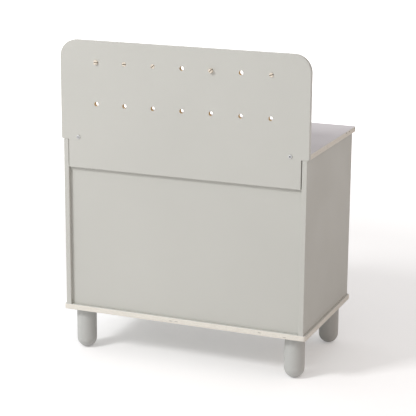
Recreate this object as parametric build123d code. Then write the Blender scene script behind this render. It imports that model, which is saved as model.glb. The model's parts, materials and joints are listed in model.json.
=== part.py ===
from build123d import *
import math
import os

# Play workbench: a cupboard on four round-ended legs, with a worktop, two drawers,
# two open bays and a tool board that stands up behind the worktop.
# Millimetres, +Z up. The front faces -Y and the tool board stands at the back, +Y.
# The origin is on the floor, under the middle of the bench's plan: halfway between its
# ends, and halfway from the worktop's front edge to the tool board's rear face.

# Cupboard
cupboard_width = 591.0
cupboard_depth = 337.0
side_height = 401.0
panel_t = 12.0
arris = 0.8

# Base board
base_t = 12.5
base_side_overhang = 5.5
base_front_overhang = 3.0
base_rear_overhang = 1.0
base_corner_r = 6.0

# Legs
leg_height = 102.0
leg_d = 47.0
leg_foot_d = 10.0
leg_side_inset = 38.0
leg_end_inset = 42.0

# Worktop. The tool board is as wide as the worktop
worktop_side_overhang = 4.5
worktop_t = 12.5
worktop_front_overhang = 14.0
worktop_corner_r = 6.0

# Tool board
board_rise = 230.0
board_tail = 66.0
board_t = 10.0
board_proud = 1.5
board_corner_r = 40.0
board_ear_r = 3.0
tail_gap = 1.7
tail_corner_r = 2.0
notch_relief = 0.2

# Peg holes: a grid across the tool board
hole_columns = 7
hole_rows = 2
hole_end_margin = 90.0
hole_top_margin = 48.5
hole_row_pitch = 95.5
hole_d = 10.2

# Pegs: turned, with a saw cut across the end that goes through the board
peg_shank_gap = 0.1
peg_tail = 7.0
peg_chamfer = 0.8
peg_collar_d = 16.0
peg_collar_t = 3.0
peg_stem_d = 9.0
peg_stem_length = 22.0
peg_head_d = 14.0
peg_head_t = 8.0
peg_head_chamfer = 2.0
peg_cut_w = 1.8
peg_cut_depth = 12.0

# Each peg: its column from the cupboard's left end, how far its collar stands off
# the board, and how far its saw cut rises to the right, as seen from behind
peg_places = {
    "peg_far_right": (7, 3.0, 0.0),
    "peg_right": (6, 6.5, 0.0),
    "peg_centre_right": (5, 6.5, 38.0),
    "peg_centre_left": (3, 0.0, 47.0),
    "peg_far_left": (1, 5.5, 20.0),
}

# Back panel, held in a groove in each side panel. The tool board's tail lies on it
back_t = 5.0
groove_depth = 5.0

# Housings: the shallow grooves that hold the deck, the shelf and the partition
housing_depth = 4.0
joint_gap = 0.1
joint_end_gap = 0.3

# Inner panels
drawer_opening_height = 100.0
inner_rear_gap = 0.5
shelf_setback = 10.0

# Drawers
drawer_reveal = 1.5
drawer_front_t = 12.0
drawer_lap = 7.0
drawer_side_t = 9.0
drawer_side_height = 78.0
drawer_bottom_t = 3.0
drawer_bottom_rise = 6.0
drawer_groove_depth = 3.0
drawer_back_inset = 12.0
drawer_rear_gap = 8.0
drawer_slide_gap = 0.3

# Drawer knobs and their screws
knob_d = 28.0
knob_length = 22.0
knob_foot_d = 14.0
knob_head_t = 13.0
knob_round = 3.0
knob_screw_d = 4.0
knob_screw_hold = 12.0
knob_screw_head_d = 7.5
knob_screw_head_t = 2.2

# Cam locks between the worktop and the side panels
cam_d = 12.0
cam_t = 9.5
cam_reach = 24.0
cam_cut_w = 1.6
cam_cut_depth = 2.0
cam_bolt_d = 4.0
cam_bolt_head_d = 6.0
cam_bolt_head_length = 4.0
cam_bolt_hold = 8.0

# Base screws, driven up into the side panels
base_screw_d = 5.0
base_screw_length = 45.0
base_screw_head_d = 9.5
base_screw_head_t = 3.5

# Leg bolts, which turn into a leg at one end and into the base board at the other
leg_bolt_d = 8.0
leg_bolt_in_leg = 38.0
leg_bolt_in_base = 9.5

# Screws that hold the tool board to the worktop's back edge
board_screw_inset = 43.4
board_screw_d = 3.5
board_screw_length = 38.0
board_screw_head_d = 8.5
board_screw_head_t = 2.4

# Cross recess in the heads of the screws
cross_span = 4.0
cross_w = 1.2
cross_depth = 1.2

# Fixings: how far they stand from the ends of a joint, and the play round them
fixing_inset = 40.0
fixing_gap = 0.1
fixing_end_gap = 1.0

# Heights and faces that follow from the sizes above
base_top = leg_height + base_t
side_top = base_top + side_height
worktop_top = side_top + worktop_t
plan_depth = worktop_front_overhang + cupboard_depth + board_proud
rear = plan_depth / 2 - board_proud
front = rear - cupboard_depth
inner_half = cupboard_width / 2 - panel_t
side_centre = cupboard_width / 2 - panel_t / 2
top_half = cupboard_width / 2 + worktop_side_overhang
board_rear = rear + board_proud
board_front = board_rear - board_t
back_rear = board_front
back_front = back_rear - back_t
inner_rear = back_front - inner_rear_gap
deck_top = side_top - drawer_opening_height
deck_bottom = deck_top - panel_t
shelf_top = (base_top + deck_bottom + panel_t) / 2
shelf_front = front + shelf_setback
board_top = side_top + board_rise
hole_column_pitch = 2 * (top_half - hole_end_margin) / (hole_columns - 1)
base_half = cupboard_width / 2 + base_side_overhang
base_front = front - base_front_overhang
base_rear = rear + base_rear_overhang
fixing_rows = (front + fixing_inset, board_front - fixing_inset)

# Drawer box
opening_low = panel_t / 2
drawer_half = (inner_half - opening_low) / 2 - drawer_reveal
drawer_centre = (inner_half + opening_low) / 2
drawer_inner = drawer_half - drawer_side_t
drawer_floor = deck_top + drawer_slide_gap
drawer_top = drawer_floor + drawer_side_height
drawer_rear = inner_rear - drawer_rear_gap
drawer_behind_front = front + drawer_front_t
drawer_bottom_z = drawer_floor + drawer_bottom_rise
drawer_bottom_top = drawer_bottom_z + drawer_bottom_t
knob_z = deck_top + drawer_opening_height / 2


def board_between(x, y, z):
    """A plain board between pairs of limits, in either order."""
    size = [abs(high - low) for low, high in (x, y, z)]
    middle = [(low + high) / 2 for low, high in (x, y, z)]
    return Pos(*middle) * Box(*size)


def rod(at, towards, diameter, length):
    """A round rod that starts at a point and runs in a direction."""
    low_end = (Align.CENTER, Align.CENTER, Align.MIN)
    return Plane(origin=at, z_dir=towards) * Cylinder(diameter / 2, length, align=low_end)


def turned(*corners):
    """A solid turned about Z from the half outline that joins some (radius, z) corners."""
    outline = Polyline(*[(r, 0, z) for r, z in corners], close=True)
    return revolve(make_face(outline), Axis.Z)


def group(solids):
    """Separate solids that make one node."""
    return Compound(children=list(solids))


# Screws

def cross_recess():
    arm = Box(cross_span, cross_w, 2 * cross_depth)
    return arm + Rot(0, 0, 90) * arm


def pan_screw(diameter, length, head_d, head_t):
    """A pan-head screw that points up, with its head below the level of the origin."""
    head_r = head_d / 2
    side = head_t * 0.4
    rim = head_t - side
    corners = [(0, -head_t), (head_r - rim, -head_t), (head_r, -side), (head_r, 0)]
    corners += [(diameter / 2, 0), (diameter / 2, length), (0, length)]
    return turned(*corners) - Pos(0, 0, -head_t) * cross_recess()


# Base board, legs and what holds them

def leg_places():
    x = base_half - leg_side_inset
    y_front = base_front + leg_end_inset
    y_rear = base_rear - leg_end_inset
    return [(-x, y_front), (x, y_front), (-x, y_rear), (x, y_rear)]


def base_screw_places():
    return [(side * side_centre, y) for side in (-1, 1) for y in fixing_rows]


def base_screw(x, y, gap):
    """A countersunk screw, driven up. With a gap it is the hole for one."""
    head_r = base_screw_head_d / 2 + gap
    shank_r = base_screw_d / 2 + gap
    top = base_screw_length + gap
    corners = [(0, 0), (head_r, 0), (shank_r, base_screw_head_t), (shank_r, top), (0, top)]
    return Pos(x, y, leg_height) * turned(*corners)


def base_board():
    board = board_between((-base_half, base_half), (base_front, base_rear), (leg_height, base_top))
    board = fillet(board.edges().filter_by(Axis.Z), base_corner_r)
    board = chamfer(board.faces().filter_by(Axis.Z).edges(), arris)
    board -= [leg_bolt(x, y) for x, y in leg_places()]
    return board - [base_screw(x, y, fixing_gap) for x, y in base_screw_places()]


def leg(x, y):
    """A round leg whose lower end is a ball, with a small flat where it stands."""
    radius = leg_d / 2
    foot = leg_foot_d / 2
    ball_z = math.sqrt(radius**2 - foot**2)
    foot_angle = math.degrees(math.asin(ball_z / radius))
    shoulder = radius - arris
    ball = Plane.XZ * CenterArc((0, ball_z), radius, -foot_angle, foot_angle)
    corners = [(radius, ball_z), (radius, leg_height - arris), (shoulder, leg_height)]
    corners += [(0, leg_height), (0, 0), (foot, 0)]
    rest = Polyline(*[(r, 0, z) for r, z in corners])
    body = revolve(make_face([ball, rest]), Axis.Z)
    body -= rod((0, 0, leg_height), (0, 0, -1), leg_bolt_d, leg_bolt_in_leg + fixing_end_gap)
    return Pos(x, y, 0) * body


def leg_bolt(x, y):
    low = leg_height - leg_bolt_in_leg
    return rod((x, y, low), (0, 0, 1), leg_bolt_d, leg_bolt_in_leg + leg_bolt_in_base)


# Cam locks. Each bolt hangs from the worktop into the top of a side panel

def cam_places():
    return [(side, y) for side in (-1, 1) for y in fixing_rows]


def cam_bolt(side, y):
    """A cam bolt: a shank that screws into the worktop, and a head at its lower end."""
    top = (side * side_centre, y, side_top + cam_bolt_hold)
    head = (side * side_centre, y, side_top - cam_reach + cam_bolt_head_length / 2)
    bolt = rod(top, (0, 0, -1), cam_bolt_d, cam_bolt_hold + cam_reach)
    return bolt + rod(head, (0, 0, -1), cam_bolt_head_d, cam_bolt_head_length)


def cam_bolt_hole(side, y):
    """The way through for a cam bolt, from the worktop down into a side panel."""
    start = (side * side_centre, y, side_top - cam_reach - cam_bolt_head_length)
    head_hole = rod(start, (0, 0, 1), cam_bolt_head_d, cam_reach + cam_bolt_head_length)
    hold = (side * side_centre, y, side_top)
    return head_hole + rod(hold, (0, 0, 1), cam_bolt_d, cam_bolt_hold)


def cam_body(side, y, diameter):
    seat = (side * inner_half, y, side_top - cam_reach)
    return rod(seat, (side, 0, 0), diameter, cam_t)


def cam_nut(side, y):
    """A round cam with a channel for the bolt's head and a cut to turn it by."""
    nut = cam_body(side, y, cam_d)
    channel_low = side_top - cam_reach - cam_bolt_head_length
    channel = ((side_centre - cam_bolt_head_d / 2) * side, (side_centre + cam_d) * side)
    half = cam_bolt_head_d / 2
    nut -= board_between(channel, (y - half, y + half), (channel_low, side_top))
    cut_x = (side * (inner_half - 1), side * (inner_half + cam_cut_depth))
    middle = side_top - cam_reach
    half = cam_cut_w / 2
    return nut - board_between(cut_x, (y - cam_d, y + cam_d), (middle - half, middle + half))


# The cupboard's boards

def housing(side, top, y_front):
    """The groove in a side panel that the end of a level board sits in."""
    return board_between(
        (side * (inner_half - 1), side * (inner_half + housing_depth)),
        (y_front - joint_gap, inner_rear + joint_gap),
        (top - panel_t - joint_gap, top + joint_gap),
    )


def side_panel(side):
    across = (side * inner_half, side * cupboard_width / 2)
    board = board_between(across, (front, rear), (base_top, side_top))
    board = chamfer(board.edges().filter_by(Axis.Z), arris)
    board -= board_between(
        (side * (inner_half - 1), side * (inner_half + groove_depth)),
        (back_front - joint_gap, back_rear + joint_gap),
        (base_top - 1, side_top + 1),
    )
    board -= [housing(side, deck_top, front), housing(side, shelf_top, shelf_front)]
    for place in cam_places():
        board -= [cam_body(*place, cam_d + 2 * fixing_gap), cam_bolt_hole(*place)]
    return board - [base_screw(x, y, fixing_gap) for x, y in base_screw_places()]


def back_panel():
    half = inner_half + groove_depth - joint_end_gap
    return board_between(
        (-half, half),
        (back_front, back_rear),
        (base_top, side_top - joint_end_gap),
    )


def level_board(top, y_front):
    """A board across the cupboard whose ends sit in the side panels' housings."""
    half = inner_half + housing_depth - joint_end_gap
    board = board_between((-half, half), (y_front, inner_rear), (top - panel_t, top))
    return chamfer(board.edges().filter_by(Axis.X).group_by(Axis.Y)[0], arris)


def partition_housing(z_low, z_high):
    half = panel_t / 2 + joint_gap
    return board_between((-half, half), (front - joint_gap, inner_rear + joint_gap), (z_low, z_high))


def drawer_deck():
    deck = level_board(deck_top, front)
    return deck - partition_housing(deck_top - housing_depth, deck_top + 1)


def drawer_partition():
    low = deck_top - housing_depth + joint_end_gap
    high = side_top + housing_depth - joint_end_gap
    half = panel_t / 2
    board = board_between((-half, half), (front, inner_rear), (low, high))
    return chamfer(board.edges().filter_by(Axis.Z).group_by(Axis.Y)[0], arris)


def worktop():
    y_front = front - worktop_front_overhang
    board = board_between((-top_half, top_half), (y_front, board_front), (side_top, worktop_top))
    board = fillet(board.edges().filter_by(Axis.Z).group_by(Axis.Y)[0], worktop_corner_r)
    outline = board.faces().filter_by(Axis.Z).edges()
    outline = [edge for edge in outline if edge.center().Y < board_front - arris]
    board = chamfer(outline, arris)
    board -= partition_housing(side_top - 1, side_top + housing_depth)
    board -= [cam_bolt_hole(*place) for place in cam_places()]
    return board - [board_screw_hole(x) for x in board_screw_places()]


# The tool board

def board_outline():
    """The tool board's outline: ears that sit on the side panels, and a tail between."""
    tail_half = inner_half - tail_gap
    ears = Pos(0, board_rise / 2) * Rectangle(2 * top_half, board_rise)
    ears = fillet(ears.vertices().group_by(Axis.Y)[-1], board_corner_r)
    ears = fillet(ears.vertices().group_by(Axis.Y)[0], board_ear_r)
    tail = Pos(0, -board_tail / 2) * Rectangle(2 * tail_half, board_tail)
    tail = fillet(tail.vertices().group_by(Axis.Y)[0], tail_corner_r)
    outline = ears + tail
    corners = [Vector(side * tail_half, 0) for side in (-1, 1)]
    notch = [outline.vertices().sort_by_distance(corner)[0] for corner in corners]
    return fillet(notch, tail_gap - notch_relief)


def hole_place(column, row):
    """The centre of one peg hole. Column 1 is at the left end, and row 1 is the upper."""
    x = (column - 1) * hole_column_pitch - (top_half - hole_end_margin)
    return x, board_top - hole_top_margin - (row - 1) * hole_row_pitch


def peg_hole(column, row):
    x, z = hole_place(column, row)
    return rod((x, board_rear + 1, z), (0, -1, 0), hole_d, board_t + 2)


def tool_board():
    rear_face = Plane(origin=(0, board_rear, side_top), x_dir=(1, 0, 0), z_dir=(0, -1, 0))
    board = extrude(rear_face * board_outline(), board_t)
    board = chamfer(board.faces().filter_by(Axis.Y).edges(), arris)
    for column in range(1, hole_columns + 1):
        board -= [peg_hole(column, row) for row in range(1, hole_rows + 1)]
    return board - [board_screw_hole(x) for x in board_screw_places()]


def board_screw_places():
    x = top_half - board_screw_inset
    return (-x, x)


def board_screw_hole(x):
    at = (x, board_rear, side_top + worktop_t / 2)
    diameter = board_screw_d + 2 * fixing_gap
    return rod(at, (0, -1, 0), diameter, board_screw_length + fixing_end_gap)


def board_screw(x):
    at = Pos(x, board_rear, side_top + worktop_t / 2)
    head = (board_screw_head_d, board_screw_head_t)
    return at * Rot(90, 0, 0) * pan_screw(board_screw_d, board_screw_length, *head)


def peg(column, stand_off, turn):
    """A turned peg: a split tail, a shank, a collar, a stem and a head."""
    shank_r = hole_d / 2 - peg_shank_gap
    collar_r = peg_collar_d / 2
    stem_r = peg_stem_d / 2
    head_r = peg_head_d / 2
    tail_z = -(board_t + peg_tail)
    head_z = peg_collar_t + peg_stem_length
    top_z = head_z + peg_head_t
    corners = [(0, tail_z), (shank_r - peg_chamfer, tail_z), (shank_r, tail_z + peg_chamfer)]
    corners += [(shank_r, 0), (collar_r, 0), (collar_r, peg_collar_t), (stem_r, peg_collar_t)]
    corners += [(stem_r, head_z), (head_r, head_z), (head_r, top_z - peg_head_chamfer)]
    corners += [(head_r - peg_head_chamfer, top_z), (0, top_z)]
    body = turned(*corners)
    body -= Pos(0, 0, tail_z) * Rot(0, 0, -turn) * Box(peg_collar_d, peg_cut_w, 2 * peg_cut_depth)
    x, z = hole_place(column, 1)
    return Pos(x, board_front - stand_off, z) * Rot(90, 0, 0) * body


# Drawers. Each piece is built about the drawer's own middle

def drawer_bottom_groove():
    """The groove for the drawer's bottom, round the front and both sides."""
    half = drawer_inner + drawer_groove_depth
    return board_between(
        (-half, half),
        (drawer_behind_front - drawer_groove_depth, drawer_rear + 1),
        (drawer_bottom_z - joint_gap, drawer_bottom_top + joint_gap),
    )


def drawer_front():
    """A drawer front, rebated at both ends for the sides to lap into."""
    low = deck_top + drawer_reveal
    high = side_top - drawer_reveal
    board = board_between((-drawer_half, drawer_half), (front, drawer_behind_front), (low, high))
    board = chamfer(board.faces().sort_by(Axis.Y)[0].edges(), arris)
    for side in (-1, 1):
        board -= board_between(
            (side * (drawer_inner - joint_gap), side * (drawer_half + 1)),
            (drawer_behind_front - drawer_lap, drawer_behind_front + 1),
            (low - 1, high + 1),
        )
    screw_hole_d = knob_screw_d + 2 * fixing_gap
    board -= rod((0, front - 1, knob_z), (0, 1, 0), screw_hole_d, drawer_front_t + 2)
    return board - drawer_bottom_groove()


def drawer_back_limits():
    return drawer_rear - drawer_back_inset - drawer_side_t, drawer_rear - drawer_back_inset


def drawer_side(side):
    y_low, y_high = drawer_back_limits()
    lapped = drawer_behind_front - drawer_lap + joint_gap
    across = (side * drawer_inner, side * drawer_half)
    board = board_between(across, (lapped, drawer_rear), (drawer_floor, drawer_top))
    board = chamfer(board.edges().filter_by(Axis.Y).group_by(Axis.Z)[-1], arris)
    board -= board_between(
        (side * (drawer_inner - 1), side * (drawer_inner + drawer_groove_depth)),
        (y_low - joint_gap, y_high + joint_gap),
        (drawer_bottom_top, drawer_top + 1),
    )
    return board - drawer_bottom_groove()


def drawer_back():
    half = drawer_inner + drawer_groove_depth - joint_gap
    low = drawer_bottom_top + joint_gap
    return board_between((-half, half), drawer_back_limits(), (low, drawer_top))


def drawer_bottom():
    half = drawer_inner + drawer_groove_depth - joint_gap
    low = drawer_behind_front - drawer_groove_depth + joint_gap
    return board_between((-half, half), (low, drawer_rear), (drawer_bottom_z, drawer_bottom_top))


def knob():
    """A turned knob: a narrow foot under a drum-shaped head with eased edges."""
    foot_r = knob_foot_d / 2
    head_r = knob_d / 2
    head_z = knob_length - knob_head_t
    corners = [(0, 0), (foot_r, 0), (foot_r, head_z), (head_r - knob_round, head_z)]
    corners += [(head_r, head_z + knob_round), (head_r, knob_length - knob_round)]
    corners += [(head_r - knob_round, knob_length), (0, knob_length)]
    body = turned(*corners)
    body -= rod((0, 0, 0), (0, 0, 1), knob_screw_d, knob_screw_hold + fixing_end_gap)
    return Pos(0, front, knob_z) * Rot(90, 0, 0) * body


def knob_screw():
    length = drawer_front_t + knob_screw_hold
    at = Pos(0, drawer_behind_front, knob_z)
    head = (knob_screw_head_d, knob_screw_head_t)
    return at * Rot(90, 0, 0) * pan_screw(knob_screw_d, length, *head)


def save(shape, name):
    export_step(shape, f"parts/{name}.step")


def save_cupboard():
    save(base_board(), "base_board")
    save(side_panel(-1), "side_panel_left")
    save(side_panel(1), "side_panel_right")
    save(back_panel(), "back_panel")
    save(drawer_deck(), "drawer_deck")
    save(level_board(shelf_top, shelf_front), "shelf")
    save(drawer_partition(), "drawer_partition")
    save(worktop(), "worktop")
    save(tool_board(), "tool_board")
    save(group(base_screw(x, y, 0) for x, y in base_screw_places()), "base_screws")
    save(group(board_screw(x) for x in board_screw_places()), "board_screws")
    save(group(cam_bolt(*place) for place in cam_places()), "cam_bolts")
    save(group(cam_nut(*place) for place in cam_places()), "cam_nuts")


def save_legs():
    names = ("leg_front_left", "leg_front_right", "leg_rear_left", "leg_rear_right")
    for name, (x, y) in zip(names, leg_places()):
        save(leg(x, y), name)
    save(group(leg_bolt(x, y) for x, y in leg_places()), "leg_bolts")


def save_pegs():
    for name, (column, stand_off, turn) in peg_places.items():
        save(peg(column, stand_off, turn), name)


def save_drawer(name, centre):
    place = Pos(centre, 0, 0)
    save(place * drawer_front(), f"drawer_{name}_front")
    save(place * drawer_side(-1), f"drawer_{name}_left_side")
    save(place * drawer_side(1), f"drawer_{name}_right_side")
    save(place * drawer_back(), f"drawer_{name}_back")
    save(place * drawer_bottom(), f"drawer_{name}_bottom")
    save(place * knob(), f"drawer_{name}_knob")
    save(place * knob_screw(), f"drawer_{name}_knob_screw")


os.makedirs("parts", exist_ok=True)
save_cupboard()
save_legs()
save_pegs()
save_drawer("left", -drawer_centre)
save_drawer("right", drawer_centre)
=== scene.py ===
import json
import math

import bmesh
import bpy
from bpy.props import FloatProperty, FloatVectorProperty, IntProperty, PointerProperty
from mathutils import Matrix, Vector


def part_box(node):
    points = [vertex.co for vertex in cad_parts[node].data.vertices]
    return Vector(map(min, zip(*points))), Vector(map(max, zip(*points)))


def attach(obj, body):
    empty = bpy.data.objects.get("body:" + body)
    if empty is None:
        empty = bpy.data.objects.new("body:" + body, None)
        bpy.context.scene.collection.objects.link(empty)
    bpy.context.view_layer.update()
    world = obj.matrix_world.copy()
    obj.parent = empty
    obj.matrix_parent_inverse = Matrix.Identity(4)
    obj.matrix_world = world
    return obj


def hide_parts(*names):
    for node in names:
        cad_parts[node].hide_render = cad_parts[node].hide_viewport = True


# Finishes and small detail for a play workbench, seen from behind on a white floor.
# Metres, +Z up, the front at -Y. Every place comes from the frame's own nodes.

bl_info = {
    "name": "Play Workbench Finish",
    "version": (1, 0, 0),
    "blender": (4, 5, 0),
    "location": "View3D > Sidebar > Workbench",
    "description": "Finishes, turned wood and fixings for a play workbench",
    "category": "Object",
}

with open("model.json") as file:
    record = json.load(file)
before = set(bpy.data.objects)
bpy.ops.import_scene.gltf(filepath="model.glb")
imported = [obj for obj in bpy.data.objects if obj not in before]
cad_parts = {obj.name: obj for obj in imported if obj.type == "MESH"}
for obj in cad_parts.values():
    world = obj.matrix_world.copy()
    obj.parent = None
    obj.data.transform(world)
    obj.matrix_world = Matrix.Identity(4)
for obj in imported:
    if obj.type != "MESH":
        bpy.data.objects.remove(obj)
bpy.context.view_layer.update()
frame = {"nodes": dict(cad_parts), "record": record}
BODIES = frame["record"]["behaviour"]["bodies"]
BODY_OF = {node: body for body, nodes in BODIES.items() for node in nodes}

MM = 0.001

LEGS = ("leg_front_left", "leg_front_right", "leg_rear_left", "leg_rear_right")
DRAWERS = ("left", "right")
PAINTED_BOARDS = ("side_panel_left", "side_panel_right", "drawer_deck", "shelf", "drawer_partition")
PAINTED_BOARDS += ("drawer_left_front", "drawer_right_front")

# How far each peg's saw cut rises to the right, as seen from behind, in degrees
PEG_CUTS = {
    "peg_far_right": 0.0,
    "peg_right": 0.0,
    "peg_centre_right": 38.0,
    "peg_centre_left": 47.0,
    "peg_far_left": 20.0,
}

# How far the cross of each screw in the tool board is turned, in degrees
SCREW_TURNS = (0.0, 35.0)

# Small gaps in the plywood's core that open at its edges, in millimetres. They are drawn as painted
# shade: dark spots on the flat edge, with no hollow in the mesh. The first number is the place along
# the worktop's end from its front, or across the base board's rear from its middle, and the second is
# the depth under the upper face. The sizes are half a gap's length and half its height.
WORKTOP_VOIDS = ((77, 2.6), (55, 2.6), (13, 2.6))
WORKTOP_VOID_SIZE = (4.5 * MM, 1.7 * MM)
BASE_VOIDS = ((26, 7.2), (12, 7.0), (-192, 5.6), (-252, 8.6))
BASE_VOID_SIZE = (5.0 * MM, 0.7 * MM)

# What counts as one point, as flat, as an arris, as one smooth surface, as a sharp edge and as level
WELD = 0.002 * MM
FLAT_ANGLE = math.radians(0.5)
EDGE_ANGLE = math.radians(30)
SMOOTH_COSINE = math.cos(math.radians(32))
SHARP_ANGLE = math.radians(35)
LEVEL_COSINE = 0.9

# How far outside its radius a hole's wall may lie, and a recess's wall outside its span, and how
# deep the faces of a recess lie under the top of the screw's head
HOLE_MARGIN = 0.3 * MM
RECESS_MARGIN = 0.05 * MM
RECESS_TOP = 0.4 * MM
RECESS_BOTTOM = 3.4 * MM

# Height of the stretch of the back panel that is lifted with its lower edge
PANEL_FOOT = 1 * MM

# Steps in the arcs of turned outlines: a leg's ball end, rims and crowns, flares and screw heads, and
# the small rounded corners
BALL_STEPS, RIM_STEPS, FLARE_STEPS, CORNER_STEPS = 24, 8, 6, 4

# Scales of the patterns in the finishes, as cells to the metre
PAINT_CLOUDS, PAINT_SMEARS, PAINT_SPECKS, PAINT_PEEL = 3.5, 9, 260, 520
PLY_WAVER, PLY_STREAKS, PLY_PORES = 18, 55, 900
WOOD_RINGS, WOOD_GRAIN, WOOD_PORES = 34, 190, 1400
ZINC_CLOUDS, ZINC_LINES = 240, 2200

# Heights of their relief
PEEL_DEPTH = 0.04 * MM
PLY_PORE_DEPTH = 0.08 * MM
WOOD_PORE_DEPTH = 0.05 * MM
ZINC_LINE_DEPTH = 0.01 * MM

# Wood's grain changes this much slower along it than across it
GRAIN_STRETCH = 0.055

# Share of a layer of plywood that is its glue line, and how strongly the line shows
GLUE_SHARE, GLUE_STRENGTH = 0.09, 0.45

# The mix node's inputs for numbers and for colours, and its output for colours
MIX_NUMBERS = (2, 3)
MIX_COLOURS = (6, 7)
MIXED_COLOUR = 2

SENSOR_WIDTH = 36
CAMERA_REACH = 50

# X of the directions, to the far right, where the light's tint is full and where it ends
WARM_REACH = (-0.9, -0.25)


def colour_property(name, description, red, green, blue):
    """A colour, given as it looks on a screen, from 0 to 255."""
    linear = tuple(to_linear(v / 255) for v in (red, green, blue))
    return FloatVectorProperty(
        name=name, description=description, default=linear, min=0, max=1, size=3, subtype="COLOR"
    )


def to_linear(value):
    if value <= 0.04045:
        return value / 12.92
    return ((value + 0.055) / 1.055) ** 2.4


def length_property(name, description, millimetres):
    return FloatProperty(
        name=name,
        description=description,
        default=millimetres * MM,
        min=0,
        unit="LENGTH",
        precision=5,
    )


def metres_property(name, description, metres):
    return FloatProperty(name=name, description=description, default=metres, unit="LENGTH")


def angle_property(name, description, degrees):
    return FloatProperty(
        name=name,
        description=description,
        default=math.radians(degrees),
        subtype="ANGLE",
        precision=4,
    )


def number_property(name, description, value):
    return FloatProperty(name=name, description=description, default=value)


def steps_property(name, description, steps):
    return IntProperty(name=name, description=description, default=steps, min=12)


def vector_property(name, description, value, subtype):
    return FloatVectorProperty(
        name=name, description=description, default=value, size=3, subtype=subtype
    )


class WorkbenchColours(bpy.types.PropertyGroup):
    paint: colour_property("Paint", "Paint on the boards", 203, 203, 197)
    leg_paint: colour_property("Leg paint", "Paint on the legs", 196, 197, 194)
    worktop: colour_property("Worktop paint", "Paint on the worktop's faces", 206, 201, 205)
    ply_pale: colour_property("Pale ply", "Long grain in the plywood's edges", 243, 241, 235)
    ply_tan: colour_property("Tan ply", "End grain in the plywood's edges", 242, 235, 221)
    board_core: colour_property("Board core", "Bare wood inside the peg holes", 228, 203, 158)
    hardwood: colour_property("Hardwood", "Pegs and knobs", 238, 227, 211)
    birch: colour_property("Birch", "Sides and bottoms of the drawers", 226, 205, 174)
    zinc: colour_property("Zinc", "Screws, bolts and cams", 196, 197, 198)
    # Painted shade: a dark zinc colour for the faces of the screws' cross recesses, in place of the
    # shade inside them
    recess_shade: colour_property("Recess", "Inside of the screws' cross recesses", 58, 57, 56)


class WorkbenchSizes(bpy.types.PropertyGroup):
    edge_round: length_property("Edge rounding", "Radius on the boards' arrises", 0.35)
    veneer: length_property("Veneer", "Thickness of one of the plywood's nine layers", 1.39)
    panel_gap: length_property("Panel gap", "Air left under the back panel", 0.3)
    foot_flat: length_property("Foot flat", "Width of the flat under each leg", 10)
    leg_shoulder: length_property("Leg shoulder", "Rounding at the top of each leg", 0.8)
    peg_shank: length_property("Peg shank", "Diameter of a peg's shank", 10)
    peg_stem: length_property("Peg stem", "Diameter of a peg's stem", 9)
    peg_tail: length_property("Peg tail", "Length of shank behind the collar", 17)
    peg_gap: length_property("Collar gap", "Air between a pushed-in collar and the board", 0.05)
    peg_collar: length_property("Peg collar", "Thickness of a peg's collar", 3)
    peg_collar_width: length_property("Collar width", "Diameter of a peg's collar", 16)
    peg_head: length_property("Peg head", "Thickness of a peg's head", 8)
    peg_head_width: length_property("Head width", "Diameter of a peg's head", 14)
    peg_cut: length_property("Saw cut", "Width of the cut in a peg's tail", 1.8)
    peg_cut_depth: length_property("Saw cut depth", "Depth of the cut in a peg's tail", 12)
    peg_ease: length_property("Peg ease", "Rounding of a peg's tail and under its head", 0.8)
    peg_crown: length_property("Peg crown", "Rounding round the top of a peg's head", 3)
    peg_steps: steps_property("Peg steps", "Steps round a peg", 48)
    hole: length_property("Peg hole", "Diameter of the peg holes", 10.2)
    knob_foot: length_property("Knob foot", "Diameter of a knob's foot", 14)
    knob_head: length_property("Knob head", "Thickness of a knob's head", 13)
    knob_rim: length_property("Knob rim", "Rounding of a knob's head", 3.5)
    knob_flare: length_property("Knob flare", "Rounding between a knob's foot and its head", 2)
    screw_head: length_property("Screw head", "Thickness of the tool board's screw heads", 2.4)
    screw_shank: length_property("Screw shank", "Diameter of the tool board's screws", 3.5)
    screw_cross: length_property("Cross recess", "Span of the recess in a screw's head", 5.4)
    screw_cross_width: length_property("Cross width", "Width of the recess's arms", 1.3)
    screw_cross_depth: length_property("Cross depth", "Depth of the recess", 1.6)
    screw_rim: length_property("Screw rim", "Rounding of a screw's head", 0.9)
    screw_slope: length_property("Screw slope", "From the rim to where the crown starts", 0.5)
    screw_dome: length_property("Screw dome", "Rise of the crown above the rim", 0.1)
    screw_steps: steps_property("Screw steps", "Steps round a screw", 40)
    turned_steps: steps_property("Steps", "Steps round a leg or a knob", 64)


class WorkbenchStage(bpy.types.PropertyGroup):
    azimuth: angle_property("Azimuth", "Camera's angle round the bench", 202.005)
    elevation: angle_property("Elevation", "Camera's angle above the floor", 14.604)
    roll: angle_property("Roll", "Camera's tilt about its view", 0.421)
    distance: metres_property("Distance", "From the camera to its target", 3.2662)
    lens: number_property("Lens", "Focal length in millimetres", 126.22)
    target: vector_property(
        "Target", "Point in the middle of the view", (-0.06462, 0.17475, 0.38635), "TRANSLATION"
    )
    ambient: number_property("Ambient", "Strength of the light all round", 0.47)
    horizon: number_property("Horizon", "Share of the light at floor level", 0.37)
    zenith: number_property("Zenith", "Share of the light straight above", 1.8)
    warm_side: colour_property("Warm side", "Tint of the light from the far right", 232, 197, 172)
    key_distance: metres_property("Key distance", "From the soft light to the bench", 5)
    key_size: metres_property("Key size", "Side of the soft light", 1.1)
    key_level: number_property("Key level", "Light that the key adds, face on", 0.474)
    key_aim: vector_property("Key aim", "Point that the key looks at", (0, 0, 0.35), "TRANSLATION")
    key_direction: vector_property(
        "Key direction", "From the bench to the key", (0.475, 0.655, 0.588), "DIRECTION"
    )
    floor_size: metres_property("Floor size", "Half the floor's width", 12)
    floor_colour: vector_property("Floor", "Colour of the floor", (0.9, 0.895, 0.9), "COLOR")
    floor_lift: number_property("Floor lift", "White added to the floor's look", 0.27)
    clear_radius: metres_property("Clear radius", "Where the floor starts to turn plain white", 1.1)


# Node materials

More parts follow.
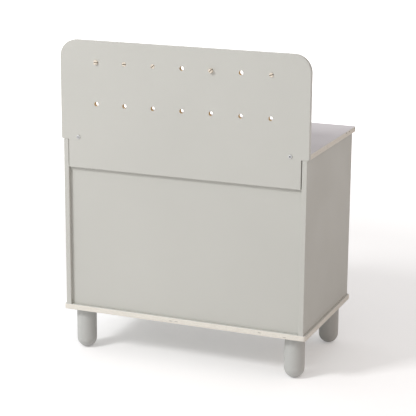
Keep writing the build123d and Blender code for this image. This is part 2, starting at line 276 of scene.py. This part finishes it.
def new_material(name):
    material = bpy.data.materials.new(name)
    material.use_nodes = True
    return material, material.node_tree, material.node_tree.nodes["Principled BSDF"]


def node(tree, kind, **values):
    """A shader node, with its own settings or its input sockets set by name."""
    made = tree.nodes.new(kind)
    for name, value in values.items():
        label = name.replace("_", " ").title()
        if hasattr(made, name):
            setattr(made, name, value)
        else:
            made.inputs[label].default_value = value
    return made


def math_node(tree, operation, first, second=0.0):
    made = node(tree, "ShaderNodeMath", operation=operation)
    for socket, value in zip(made.inputs, (first, second)):
        feed(tree, value, socket)
    return made.outputs[0]


def feed(tree, value, socket):
    """Links a socket to another, or sets it to a number or colour."""
    if isinstance(value, bpy.types.NodeSocket):
        tree.links.new(value, socket)
    else:
        socket.default_value = value


def coordinates(tree, scale=(1, 1, 1)):
    """Places on the piece in metres, stretched by a scale along each axis."""
    place = node(tree, "ShaderNodeTexCoord")
    stretch = node(tree, "ShaderNodeMapping", vector_type="POINT")
    stretch.inputs["Scale"].default_value = scale
    tree.links.new(place.outputs["Object"], stretch.inputs["Vector"])
    return stretch.outputs["Vector"]


def noise(tree, vector, scale, detail=2.0, roughness=0.5, distortion=0.0):
    made = node(tree, "ShaderNodeTexNoise", scale=scale, detail=detail, roughness=roughness)
    made.inputs["Distortion"].default_value = distortion
    tree.links.new(vector, made.inputs["Vector"])
    return made.outputs["Fac"]


def spread(tree, value, low, high, from_low=0.0, from_high=1.0):
    """Maps a value from one range onto another."""
    made = node(tree, "ShaderNodeMapRange")
    feed(tree, value, made.inputs["Value"])
    made.inputs["From Min"].default_value = from_low
    made.inputs["From Max"].default_value = from_high
    made.inputs["To Min"].default_value = low
    made.inputs["To Max"].default_value = high
    return made.outputs["Result"]


def mix(tree, share, first, second):
    """A colour between two others."""
    made = node(tree, "ShaderNodeMix", data_type="RGBA")
    feed(tree, share, made.inputs["Factor"])
    for place, colour in zip(MIX_COLOURS, (first, second)):
        feed(tree, colour, made.inputs[place])
    return made.outputs[MIXED_COLOUR]


def mix_numbers(tree, share, first, second):
    """A number between two others."""
    made = node(tree, "ShaderNodeMix", data_type="FLOAT")
    feed(tree, share, made.inputs["Factor"])
    for place, number in zip(MIX_NUMBERS, (first, second)):
        feed(tree, number, made.inputs[place])
    return made.outputs[0]


def shade(colour, amount):
    """A colour made lighter or darker by a share."""
    return (*(min(1.0, c * (1 + amount)) for c in colour), 1.0)


def bump(tree, shader, height, depth):
    made = node(tree, "ShaderNodeBump", distance=depth)
    made.inputs["Strength"].default_value = 1.0
    tree.links.new(height, made.inputs["Height"])
    tree.links.new(made.outputs["Normal"], shader.inputs["Normal"])


def sprayed_paint(name, colour, gloss=0.42):
    """Satin sprayed paint: faint clouding, fine orange peel and a slightly uneven gloss."""
    material, tree, shader = new_material(name)
    clouds = noise(tree, coordinates(tree), PAINT_CLOUDS, detail=3)
    specks = noise(tree, coordinates(tree), PAINT_SPECKS, detail=2)
    cloudy = spread(tree, clouds, 0, 1, 0.3, 0.7)
    base = mix(tree, cloudy, shade(colour, -0.018), shade(colour, 0.018))
    base = mix(tree, spread(tree, specks, 0, 0.35, 0.62, 0.8), base, shade(colour, -0.05))
    tree.links.new(base, shader.inputs["Base Color"])
    smears = noise(tree, coordinates(tree), PAINT_SMEARS, detail=4, roughness=0.6)
    tree.links.new(spread(tree, smears, gloss, gloss + 0.14, 0.3, 0.7), shader.inputs["Roughness"])
    peel = noise(tree, coordinates(tree), PAINT_PEEL, detail=1)
    bump(tree, shader, peel, PEEL_DEPTH)
    return material


def ply_edge(name, top, veneer, long_grain, end_grain, voids):
    """The bare edge of plywood: layers of long and end grain, glue lines, and painted shade for a few
    voids.
    """
    material, tree, shader = new_material(name)
    place = node(tree, "ShaderNodeTexCoord").outputs["Object"]
    parts = node(tree, "ShaderNodeSeparateXYZ")
    tree.links.new(place, parts.inputs[0])
    waver = noise(tree, coordinates(tree, (1, 1, 0)), PLY_WAVER, detail=2)
    waver = spread(tree, waver, -0.12, 0.12)
    depth = math_node(tree, "DIVIDE", math_node(tree, "SUBTRACT", top, parts.outputs["Z"]), veneer)
    depth = math_node(tree, "ADD", depth, waver)
    layer = math_node(tree, "FLOOR", depth)
    across = math_node(tree, "FRACT", depth)
    odd = math_node(tree, "MODULO", layer, 2.0)
    streaks = noise(tree, coordinates(tree, (1, 1, 24)), PLY_STREAKS, detail=5, roughness=0.65)
    pores = noise(tree, coordinates(tree), PLY_PORES, detail=2)
    streaky = spread(tree, streaks, 0, 1, 0.32, 0.7)
    pale = mix(tree, streaky, shade(long_grain, -0.14), shade(long_grain, 0.05))
    porous = spread(tree, pores, 0, 1, 0.35, 0.65)
    dark = mix(tree, porous, shade(end_grain, -0.16), shade(end_grain, 0.08))
    base = mix(tree, odd, pale, dark)
    glue = math_node(tree, "LESS_THAN", across, GLUE_SHARE)
    glue = math_node(tree, "MULTIPLY", glue, GLUE_STRENGTH)
    base = mix(tree, glue, base, shade(end_grain, -0.45))
    # Painted shade: each gap in the core is a very dark spot of the end grain's colour
    for spot in voids:
        base = mix(tree, void_shade_mask(tree, place, *spot), base, shade(end_grain, -0.72))
    tree.links.new(base, shader.inputs["Base Color"])
    tree.links.new(spread(tree, streaks, 0.55, 0.75), shader.inputs["Roughness"])
    bump(tree, shader, pores, PLY_PORE_DEPTH)
    return material


def void_shade_mask(tree, place, centre, half_length, half_height):
    """One where a small oval gap in a core veneer opens at the edge and gets painted shade, and zero
    elsewhere.
    """
    shift = node(tree, "ShaderNodeVectorMath", operation="SUBTRACT")
    tree.links.new(place, shift.inputs[0])
    shift.inputs[1].default_value = centre
    squeeze = node(tree, "ShaderNodeVectorMath", operation="DIVIDE")
    tree.links.new(shift.outputs[0], squeeze.inputs[0])
    squeeze.inputs[1].default_value = (half_length, half_length, half_height)
    reach = node(tree, "ShaderNodeVectorMath", operation="LENGTH")
    tree.links.new(squeeze.outputs[0], reach.inputs[0])
    return spread(tree, reach.outputs["Value"], 0.85, 0.0, 0.7, 1.05)


def bare_wood(name, colour, along, scale=1.0, contrast=0.12):
    """Bare wood with its grain along one axis, end grain across it, and soft growth rings."""
    material, tree, shader = new_material(name)
    stretch = [1.0, 1.0, 1.0]
    stretch["XYZ".index(along)] = GRAIN_STRETCH
    place = coordinates(tree, stretch)
    grain = noise(tree, place, WOOD_GRAIN * scale, detail=6, roughness=0.62, distortion=0.4)
    rings = noise(tree, place, WOOD_RINGS * scale, detail=2, distortion=1.6)
    pores = noise(tree, place, WOOD_PORES, detail=2)
    ringed = spread(tree, rings, 0, 1, 0.35, 0.65)
    base = mix(tree, ringed, shade(colour, -contrast), shade(colour, 0.04))
    base = mix(tree, spread(tree, grain, 0, 0.6, 0.52, 0.75), base, shade(colour, -1.8 * contrast))
    tree.links.new(base, shader.inputs["Base Color"])
    tree.links.new(spread(tree, grain, 0.48, 0.68), shader.inputs["Roughness"])
    bump(tree, shader, pores, WOOD_PORE_DEPTH)
    return material


def zinc_plate(name, colour):
    """Zinc on steel, with a fine grain in it and cloudy roughness."""
    material, tree, shader = new_material(name)
    clouds = noise(tree, coordinates(tree), ZINC_CLOUDS, detail=3)
    cloudy = spread(tree, clouds, 0, 1, 0.3, 0.7)
    base = mix(tree, cloudy, shade(colour, -0.10), shade(colour, 0.05))
    tree.links.new(base, shader.inputs["Base Color"])
    shader.inputs["Metallic"].default_value = 1.0
    tree.links.new(spread(tree, clouds, 0.28, 0.45), shader.inputs["Roughness"])
    lines = noise(tree, coordinates(tree), ZINC_LINES, detail=1)
    bump(tree, shader, lines, ZINC_LINE_DEPTH)
    return material


# Pieces

def wear(piece, *materials):
    piece.data.materials.clear()
    for material in materials:
        piece.data.materials.append(material)


def place_piece(name, mesh, stands_for, slot, *materials):
    """Adds a piece that stands for a node of the frame and moves with that node's body."""
    piece = bpy.data.objects.new(name, mesh)
    bpy.context.scene.collection.objects.link(piece)
    wear(piece, *materials)
    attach(piece, BODY_OF[stands_for])
    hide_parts(stands_for)
    return piece


def board_skin(node_name, radius):
    """A board's mesh as one skin whose outer arrises are rounded."""
    skin = bmesh.new()
    skin.from_mesh(frame["nodes"][node_name].data)
    bmesh.ops.remove_doubles(skin, verts=skin.verts, dist=WELD)
    if radius > 0:
        round_arrises(skin, radius)
    mesh = shaded_mesh(node_name + "_skin", skin)
    skin.free()
    return mesh


def round_arrises(skin, radius):
    """Rounds the outer edges of a board, but not those of its grooves and holes."""
    bmesh.ops.dissolve_limit(
        skin,
        angle_limit=FLAT_ANGLE,
        use_dissolve_boundaries=False,
        verts=skin.verts,
        edges=skin.edges,
    )
    hollow = {face for face in skin.faces if any(is_hollow(edge) for edge in face.edges)}
    arrises = [
        edge for edge in skin.edges if is_arris(edge) and not hollow.intersection(edge.link_faces)
    ]
    bmesh.ops.bevel(
        skin,
        geom=arrises,
        offset=radius,
        offset_type="OFFSET",
        segments=3,
        profile=0.5,
        affect="EDGES",
        clamp_overlap=False,
    )
    bmesh.ops.triangulate(skin, faces=[face for face in skin.faces if len(face.verts) > 4])


def is_hollow(edge):
    """Where two faces meet in an inner corner, as in a groove or a hole."""
    return not edge.is_convex and edge.calc_face_angle(0) > FLAT_ANGLE


def is_arris(edge):
    return edge.is_convex and edge.calc_face_angle(0) > EDGE_ANGLE


def shaded_mesh(name, skin):
    """A mesh whose flat faces stay flat and whose rounded edges and walls look smooth."""
    skin.normal_update()
    normals = []
    for face in skin.faces:
        face.smooth = True
        face.material_index = 0
        for corner in face.loops:
            near = [f for f in corner.vert.link_faces if f.normal.dot(face.normal) > SMOOTH_COSINE]
            total = sum((f.normal * f.calc_area() for f in near), Vector())
            normals.append(total.normalized() if total.length > 0 else face.normal.copy())
    mesh = bpy.data.meshes.new(name)
    skin.to_mesh(mesh)
    if "custom_normal" in mesh.attributes:
        mesh.attributes.remove(mesh.attributes["custom_normal"])
    mesh.normals_split_custom_set(normals)
    return mesh


def eased_board(node_name, slot, *materials, radius=None):
    """A finished board that stands for a node. Its arrises are rounded unless the radius is 0."""
    if radius is None:
        radius = bpy.context.scene.workbench_sizes.edge_round
    mesh = board_skin(node_name, radius)
    return place_piece(node_name + "_finished", mesh, node_name, slot, *materials)


def use_on_faces(piece, index, chosen):
    """Gives one of the piece's materials to the faces that a test chooses."""
    for face in piece.data.polygons:
        if chosen(face):
            face.material_index = index


def is_upright(face):
    return abs(face.normal.z) < LEVEL_COSINE


def arc(centre, radius, start, end, steps):
    """Points (radius, height) on an arc of a turned outline, with angles in degrees from level."""
    points = []
    for step in range(steps + 1):
        angle = math.radians(start + (end - start) * step / steps)
        points.append((centre[0] + radius * math.cos(angle), centre[1] + radius * math.sin(angle)))
    return points


def turned_mesh(name, outline, steps):
    """A closed mesh turned about Z from (radius, height) points that start and end on the axis."""
    shape = bmesh.new()
    rings = []
    for radius, height in outline:
        if radius < WELD:
            rings.append([shape.verts.new((0, 0, height))])
            continue
        turns = [2 * math.pi * step / steps for step in range(steps)]
        places = [(radius * math.cos(turn), radius * math.sin(turn), height) for turn in turns]
        rings.append([shape.verts.new(place) for place in places])
    for lower, upper in zip(rings, rings[1:]):
        join_rings(shape, lower, upper, steps)
    bmesh.ops.recalc_face_normals(shape, faces=shape.faces)
    for face in shape.faces:
        face.smooth = True
    mesh = bpy.data.meshes.new(name)
    shape.to_mesh(mesh)
    shape.free()
    return mesh


def join_rings(shape, lower, upper, steps):
    for step in range(steps):
        after = (step + 1) % steps
        if len(lower) == 1:
            shape.faces.new((lower[0], upper[after], upper[step]))
        elif len(upper) == 1:
            shape.faces.new((lower[step], lower[after], upper[0]))
        else:
            shape.faces.new((lower[step], lower[after], upper[after], upper[step]))


def mark_sharp(mesh):
    """Keeps crisp any edge that turns by more than a round surface's steps do."""
    mesh.set_sharp_from_angle(angle=SHARP_ANGLE)


def cut_away(piece, tool):
    """Cuts one mesh out of another, and keeps only the result."""
    cut = piece.modifiers.new("cut", "BOOLEAN")
    cut.operation = "DIFFERENCE"
    cut.solver = "EXACT"
    cut.object = tool
    bpy.context.view_layer.update()
    graph = bpy.context.evaluated_depsgraph_get()
    result = bpy.data.meshes.new_from_object(piece.evaluated_get(graph))
    piece.modifiers.clear()
    piece.data = result
    bpy.data.objects.remove(tool)


def loose_box(size, turn):
    """A box used only as a cutting tool, with its middle where the cut starts."""
    shape = bmesh.new()
    bmesh.ops.create_cube(shape, size=1.0)
    bmesh.ops.transform(shape, matrix=Matrix.Diagonal((*size, 1)), verts=shape.verts)
    bmesh.ops.rotate(shape, matrix=Matrix.Rotation(turn, 3, "Z"), verts=shape.verts)
    mesh = bpy.data.meshes.new("cutter")
    shape.to_mesh(mesh)
    shape.free()
    tool = bpy.data.objects.new("cutter", mesh)
    bpy.context.scene.collection.objects.link(tool)
    return tool


def middle(node_name):
    low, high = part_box(node_name)
    return (low + high) / 2


def facing_front(centre, rear):
    """A place on a Y axis, with local +Z turned to the front and local +Y turned up."""
    turn = Matrix.Rotation(math.radians(90), 4, "X")
    return Matrix.Translation((centre.x, rear, centre.z)) @ turn


class WORKBENCH_OT_tool_board(bpy.types.Operator):
    """Paints the tool board and leaves the wood bare inside its holes"""

    bl_idname = "workbench.tool_board"
    bl_label = "Tool board"

    def execute(self, context):
        colours = context.scene.workbench_colours
        paint = sprayed_paint("tool_board_paint", colours.paint)
        core = bare_wood("hole_wall_wood", colours.board_core, "Y", contrast=0.18)
        board = eased_board("tool_board", "white_board", paint, core, radius=0)
        reach = context.scene.workbench_sizes.hole / 2 + HOLE_MARGIN
        centres = peg_hole_centres()
        use_on_faces(board, 1, lambda face: near_any(face.center, centres, reach))
        return {"FINISHED"}


def near_any(point, centres, reach):
    """Whether a point, seen from the front, lies within reach of one of some centres."""
    return any(math.hypot(point.x - c.x, point.z - c.z) < reach for c in centres)


def peg_hole_centres():
    """The middles of the holes, from the record's open holes and from the pegs."""
    mounts = frame["record"]["mounts"]
    centres = [Vector(m["pos_m"]) for m in mounts if m["kind"] == "bore"]
    return centres + [middle(peg) for peg in PEG_CUTS]


class WORKBENCH_OT_cupboard(bpy.types.Operator):
    """Paints the cupboard's boards and its back panel"""

    bl_idname = "workbench.cupboard"
    bl_label = "Cupboard boards"

    def execute(self, context):
        colours = context.scene.workbench_colours
        paint = sprayed_paint("board_paint", colours.paint, gloss=0.5)
        for name in PAINTED_BOARDS:
            eased_board(name, "white_board", paint)
        panel_paint = sprayed_paint("back_panel_paint", colours.paint, gloss=0.48)
        panel = eased_board("back_panel", "white_board", panel_paint)
        open_foot(panel, context.scene.workbench_sizes.panel_gap)
        return {"FINISHED"}


def open_foot(panel, gap):
    """Lifts the back panel's lower edge, so a dark line shows where it meets the base board."""
    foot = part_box("back_panel")[0].z + PANEL_FOOT
    for corner in panel.data.vertices:
        if corner.co.z < foot:
            corner.co.z += gap


class WORKBENCH_OT_worktop(bpy.types.Operator):
    """Paints the worktop's faces and leaves its plywood edges bare"""

    bl_idname = "workbench.worktop"
    bl_label = "Worktop"

    def execute(self, context):
        colours = context.scene.workbench_colours
        sizes = context.scene.workbench_sizes
        low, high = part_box("worktop")
        voids = [
            (Vector((low.x, low.y + along * MM, high.z - down * MM)), *WORKTOP_VOID_SIZE)
            for along, down in WORKTOP_VOIDS
        ]
        paint = sprayed_paint("worktop_paint", colours.worktop, gloss=0.36)
        grains = (colours.ply_pale, colours.ply_tan)
        edge = ply_edge("worktop_ply", high.z, sizes.veneer, *grains, voids)
        top = eased_board("worktop", "worktop_board", paint, edge)
        use_on_faces(top, 1, is_upright)
        return {"FINISHED"}


class WORKBENCH_OT_base_board(bpy.types.Operator):
    """Paints the base board's faces and leaves its plywood edges bare"""

    bl_idname = "workbench.base_board"
    bl_label = "Base board"

    def execute(self, context):
        colours = context.scene.workbench_colours
        sizes = context.scene.workbench_sizes
        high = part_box("base_board")[1]
        voids = [
            (Vector((across * MM, high.y, high.z - down * MM)), *BASE_VOID_SIZE)
            for across, down in BASE_VOIDS
        ]
        paint = sprayed_paint("base_paint", colours.paint)
        grains = (colours.ply_pale, colours.ply_tan)
        edge = ply_edge("base_ply", high.z, sizes.veneer, *grains, voids)
        board = eased_board("base_board", "worktop_board", paint, edge)
        use_on_faces(board, 1, is_upright)
        return {"FINISHED"}


class WORKBENCH_OT_legs(bpy.types.Operator):
    """Turns the four painted legs with their ball ends"""

    bl_idname = "workbench.legs"
    bl_label = "Legs"

    def execute(self, context):
        sizes = context.scene.workbench_sizes
        paint = sprayed_paint("leg_paint", context.scene.workbench_colours.leg_paint, gloss=0.38)
        for name in LEGS:
            low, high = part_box(name)
            outline = leg_outline((high.x - low.x) / 2, high.z - low.z, sizes)
            mesh = turned_mesh(name + "_turned", outline, sizes.turned_steps)
            mesh.transform(Matrix.Translation((middle(name).x, middle(name).y, low.z)))
            mark_sharp(mesh)
            place_piece(name + "_turned", mesh, name, "leg_paint", paint)
        return {"FINISHED"}


def leg_outline(radius, height, sizes):
    """A foot flat, a ball end, a straight side and a rounded shoulder."""
    foot = sizes.foot_flat / 2
    ball = math.sqrt(radius**2 - foot**2)
    start = -math.degrees(math.acos(foot / radius))
    shoulder = sizes.leg_shoulder
    points = [(0, 0), *arc((0, ball), radius, start, 0, BALL_STEPS)]
    points += arc((radius - shoulder, height - shoulder), shoulder, 0, 90, CORNER_STEPS)
    return [*points, (0, height)]


class WORKBENCH_OT_pegs(bpy.types.Operator):
    """Turns the five pegs and saws the cut in each tail"""

    bl_idname = "workbench.pegs"
    bl_label = "Pegs"

    def execute(self, context):
        sizes = context.scene.workbench_sizes
        wood = bare_wood("peg_wood", context.scene.workbench_colours.hardwood, "Y")
        for name, rise in PEG_CUTS.items():
            mesh = turned_mesh(name + "_turned", peg_outline(name, sizes), sizes.peg_steps)
            peg = place_piece(name + "_turned", mesh, name, "peg_wood", wood)
            size = (2 * sizes.peg_collar_width, sizes.peg_cut, 2 * sizes.peg_cut_depth)
            cut_away(peg, loose_box(size, -math.radians(rise)))
            peg.data.transform(facing_front(middle(name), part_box(name)[1].y))
            mark_sharp(peg.data)
        return {"FINISHED"}


def peg_outline(name, sizes):
    """A shank, a collar with a round rim, a waisted stem and a domed head, from the tail up."""
    low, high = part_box(name)
    length = high.y - low.y
    shank, stem = sizes.peg_shank / 2, sizes.peg_stem / 2
    collar, head = sizes.peg_collar_width / 2, sizes.peg_head_width / 2
    rim = sizes.peg_collar / 2
    seat = sizes.peg_tail + sizes.peg_gap
    head_low = length - sizes.peg_head
    ease, crown = sizes.peg_ease, sizes.peg_crown
    points = [(0, 0), *arc((shank - ease, ease), ease, -90, 0, CORNER_STEPS), (shank, seat)]
    points += arc((collar - rim, seat + rim), rim, -90, 90, RIM_STEPS)
    points += [(stem, seat + 2 * rim), (stem, head_low)]
    points += arc((head - ease, head_low + ease), ease, -90, 0, CORNER_STEPS)
    points += arc((head - crown, length - crown), crown, 0, 90, RIM_STEPS)
    return [*points, (0, length)]


class WORKBENCH_OT_drawer_boxes(bpy.types.Operator):
    """Gives the drawers' sides, backs and bottoms their birch faces"""

    bl_idname = "workbench.drawer_boxes"
    bl_label = "Drawer boxes"

    def execute(self, context):
        birch = context.scene.workbench_colours.birch
        lengthways = bare_wood("birch_lengthways", birch, "Y", scale=0.5)
        crossways = bare_wood("birch_crossways", birch, "X", scale=0.5)
        for drawer in DRAWERS:
            for piece in ("left_side", "right_side", "bottom"):
                eased_board(f"drawer_{drawer}_{piece}", "drawer_wood", lengthways)
            eased_board(f"drawer_{drawer}_back", "drawer_wood", crossways)
        return {"FINISHED"}


class WORKBENCH_OT_knobs(bpy.types.Operator):
    """Turns the two drawer knobs"""

    bl_idname = "workbench.knobs"
    bl_label = "Knobs"

    def execute(self, context):
        sizes = context.scene.workbench_sizes
        wood = bare_wood("knob_wood", context.scene.workbench_colours.hardwood, "Y", scale=0.7)
        for drawer in DRAWERS:
            name = f"drawer_{drawer}_knob"
            mesh = turned_mesh(name + "_turned", knob_outline(name, sizes), sizes.turned_steps)
            mesh.transform(facing_front(middle(name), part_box(name)[1].y))
            mark_sharp(mesh)
            place_piece(name + "_turned", mesh, name, "peg_wood", wood)
        return {"FINISHED"}


def knob_outline(name, sizes):
    """A foot, a waist that flares into the head, and a head with a rounded rim and a low dome."""
    low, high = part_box(name)
    length, head = high.y - low.y, (high.x - low.x) / 2
    foot = sizes.knob_foot / 2
    head_low = length - sizes.knob_head
    rim, flare = sizes.knob_rim, sizes.knob_flare
    points = [(0, 0), (foot, 0), (foot, head_low - flare)]
    points += arc((foot + flare, head_low - flare), flare, 180, 90, FLARE_STEPS)
    points += arc((head - rim, head_low + rim), rim, -90, 0, RIM_STEPS)
    points += arc((head - rim, length - rim), rim, 0, 90, RIM_STEPS)
    return [*points, (0, length)]


class WORKBENCH_OT_fixings(bpy.types.Operator):
    """Makes the screws' heads and gives the bolts and cams their zinc"""

    bl_idname = "workbench.fixings"
    bl_label = "Fixings"

    def execute(self, context):
        colours = context.scene.workbench_colours
        zinc = zinc_plate("zinc", colours.zinc)
        # Painted shade: a dark copy of the zinc, worn by the faces inside the cross recesses
        recess_shade_zinc = zinc_plate("recess_shade_zinc", colours.recess_shade)
        make_board_screws(context.scene.workbench_sizes, zinc, recess_shade_zinc)
        for name in ("leg_bolts", "cam_bolts", "cam_nuts", "base_screws"):
            wear(frame["nodes"][name], zinc)
        for drawer in DRAWERS:
            wear(frame["nodes"][f"drawer_{drawer}_knob_screw"], zinc)
        return {"FINISHED"}


def make_board_screws(sizes, zinc, recess_shade_zinc):
    """The two pan-head screws through the tool board, with cross recesses darkened as painted shade.
    """
    name = "board_screws"
    low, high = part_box(name)
    radius = (high.z - low.z) / 2
    outline = screw_outline(radius, high.y - low.y, sizes)
    height = middle(name).z
    centres = [Vector((x, 0, height)) for x in (high.x - radius, low.x + radius)]
    shape = bmesh.new()
    for centre, turn in zip(centres, SCREW_TURNS):
        head = bpy.data.objects.new("screw", turned_mesh("screw", outline, sizes.screw_steps))
        bpy.context.scene.collection.objects.link(head)
        for quarter in (0, 90):
            size = (sizes.screw_cross, sizes.screw_cross_width, 2 * sizes.screw_cross_depth)
            cut_away(head, loose_box(size, math.radians(turn + quarter)))
        head.data.transform(facing_front(centre, high.y))
        shape.from_mesh(head.data)
        bpy.data.objects.remove(head)
    mesh = bpy.data.meshes.new(name + "_turned")
    shape.to_mesh(mesh)
    shape.free()
    mark_sharp(mesh)
    screws = place_piece(name + "_turned", mesh, name, "zinc_steel", zinc, recess_shade_zinc)
    reach = sizes.screw_cross / 2 + RECESS_MARGIN

    def in_recess(face):
        depth = high.y - face.center.y
        return RECESS_TOP < depth < RECESS_BOTTOM and near_any(face.center, centres, reach)

    # Painted shade: the faces inside the recesses wear the dark zinc
    use_on_faces(screws, 1, in_recess)


def screw_outline(radius, length, sizes):
    """A rounded pan head and a plain shank, from the top of the head down."""
    shank = sizes.screw_shank / 2
    thick = sizes.screw_head
    rim, dome = sizes.screw_rim, sizes.screw_dome
    points = [(0, 0), (radius - rim - sizes.screw_slope, dome)]
    points += arc((radius - rim, rim + dome), rim, -90, 0, FLARE_STEPS)
    return [*points, (radius, thick), (shank, thick), (shank, length), (0, length)]


class WORKBENCH_OT_stage(bpy.types.Operator):
    """Sets the white floor, the soft light and the camera"""

    bl_idname = "workbench.stage"
    bl_label = "Stage"

    def execute(self, context):
        stage = context.scene.workbench_stage
        make_camera(context.scene, stage)
        make_floor(stage)
        make_key_light(stage)
        make_surroundings(context.scene, stage)
        context.scene.view_settings.view_transform = "Standard"
        return {"FINISHED"}


def make_camera(scene, stage):
    level = math.cos(stage.elevation)
    along, across = -math.cos(stage.azimuth) * level, math.sin(stage.azimuth) * level
    towards = Vector((across, along, math.sin(stage.elevation)))
    forward = -towards
    right = forward.cross(Vector((0, 0, 1))).normalized()
    above = right.cross(forward)
    tilt = Matrix.Rotation(-stage.roll, 3, forward)
    right, above = tilt @ right, tilt @ above
    lens = bpy.data.cameras.new("camera")
    lens.lens = stage.lens
    lens.sensor_width = SENSOR_WIDTH
    lens.sensor_fit = "HORIZONTAL"
    lens.clip_end = CAMERA_REACH
    camera = bpy.data.objects.new("camera", lens)
    turn = Matrix((right, above, towards)).transposed().to_4x4()
    camera.matrix_world = Matrix.Translation(Vector(stage.target) + towards * stage.distance) @ turn
    scene.collection.objects.link(camera)
    scene.camera = camera


def make_floor(stage):
    """A wide white floor that stays white to the camera and keeps the shadow."""
    shape = bmesh.new()
    bmesh.ops.create_grid(shape, x_segments=1, y_segments=1, size=stage.floor_size)
    mesh = bpy.data.meshes.new("floor")
    shape.to_mesh(mesh)
    shape.free()
    floor = bpy.data.objects.new("floor", mesh)
    bpy.context.scene.collection.objects.link(floor)
    material, tree, shader = new_material("floor_white")
    shader.inputs["Base Color"].default_value = (*stage.floor_colour, 1)
    shader.inputs["Roughness"].default_value = 0.9
    shader.inputs["Specular IOR Level"].default_value = 0.1
    shader.inputs["Emission Color"].default_value = (1, 1, 1, 1)
    place = node(tree, "ShaderNodeTexCoord").outputs["Object"]
    reach = node(tree, "ShaderNodeVectorMath", operation="LENGTH")
    tree.links.new(place, reach.inputs[0])
    far = (stage.clear_radius, 3 * stage.clear_radius)
    lift = spread(tree, reach.outputs["Value"], stage.floor_lift, 1.0, *far)
    lift = math_node(tree, "MULTIPLY", seen_directly(tree), lift)
    tree.links.new(lift, shader.inputs["Emission Strength"])
    wear(floor, material)


def seen_directly(tree):
    """One for the camera's own rays and for those off metal or through glass, or else zero."""
    path = node(tree, "ShaderNodeLightPath").outputs
    seen = math_node(tree, "MAXIMUM", path["Is Camera Ray"], path["Is Glossy Ray"])
    return math_node(tree, "MAXIMUM", seen, path["Is Transmission Ray"])


def make_key_light(stage):
    """A square soft box high at the left of the view."""
    lamp = bpy.data.lights.new("key", "AREA")
    lamp.energy = stage.key_level * (math.pi * stage.key_distance) ** 2
    lamp.size = stage.key_size
    key = bpy.data.objects.new("key", lamp)
    towards = Vector(stage.key_direction).normalized()
    key.location = Vector(stage.key_aim) + stage.key_distance * towards
    key.rotation_euler = towards.to_track_quat("Z", "Y").to_euler()
    bpy.context.scene.collection.objects.link(key)


def make_surroundings(scene, stage):
    """Light from all round, strongest from above and tinted on one side, and a white background."""
    world = bpy.data.worlds.new("surroundings")
    scene.world = world
    world.use_nodes = True
    tree = world.node_tree
    background = tree.nodes["Background"]
    place = node(tree, "ShaderNodeTexCoord").outputs["Generated"]
    parts = node(tree, "ShaderNodeSeparateXYZ")
    tree.links.new(place, parts.inputs[0])
    seen = seen_directly(tree)
    side = spread(tree, parts.outputs["X"], 1.0, 0.0, *WARM_REACH)
    side = math_node(tree, "MULTIPLY", side, math_node(tree, "SUBTRACT", 1.0, seen))
    tint = mix(tree, side, (1, 1, 1, 1), (*stage.warm_side, 1))
    tree.links.new(tint, background.inputs["Color"])
    shares = (stage.ambient * stage.horizon, stage.ambient * stage.zenith)
    strength = mix_numbers(tree, seen, spread(tree, parts.outputs["Z"], *shares), 1.0)
    tree.links.new(strength, background.inputs["Strength"])


class WORKBENCH_PT_parts(bpy.types.Panel):
    """Lists the steps that finish the workbench"""

    bl_label = "Workbench"
    bl_idname = "WORKBENCH_PT_parts"
    bl_space_type = "VIEW_3D"
    bl_region_type = "UI"
    bl_category = "Workbench"

    def draw(self, context):
        for operator in OPERATORS:
            self.layout.operator(operator.bl_idname)
        scene = context.scene
        for group in (scene.workbench_colours, scene.workbench_sizes, scene.workbench_stage):
            for name in group.__annotations__:
                self.layout.prop(group, name)


OPERATORS = (
    WORKBENCH_OT_tool_board,
    WORKBENCH_OT_cupboard,
    WORKBENCH_OT_worktop,
    WORKBENCH_OT_base_board,
    WORKBENCH_OT_legs,
    WORKBENCH_OT_pegs,
    WORKBENCH_OT_drawer_boxes,
    WORKBENCH_OT_knobs,
    WORKBENCH_OT_fixings,
    WORKBENCH_OT_stage,
)
GROUPS = (WorkbenchColours, WorkbenchSizes, WorkbenchStage)


def register():
    for made in (*GROUPS, *OPERATORS, WORKBENCH_PT_parts):
        bpy.utils.register_class(made)
    bpy.types.Scene.workbench_colours = PointerProperty(type=WorkbenchColours)
    bpy.types.Scene.workbench_sizes = PointerProperty(type=WorkbenchSizes)
    bpy.types.Scene.workbench_stage = PointerProperty(type=WorkbenchStage)


def unregister():
    del bpy.types.Scene.workbench_colours
    del bpy.types.Scene.workbench_sizes
    del bpy.types.Scene.workbench_stage
    for made in reversed((*GROUPS, *OPERATORS, WORKBENCH_PT_parts)):
        bpy.utils.unregister_class(made)


def main():
    register()
    bpy.ops.workbench.tool_board()
    bpy.ops.workbench.cupboard()
    bpy.ops.workbench.worktop()
    bpy.ops.workbench.base_board()
    bpy.ops.workbench.legs()
    bpy.ops.workbench.pegs()
    bpy.ops.workbench.drawer_boxes()
    bpy.ops.workbench.knobs()
    bpy.ops.workbench.fixings()
    bpy.ops.workbench.stage()


if __name__ == "__main__":
    main()
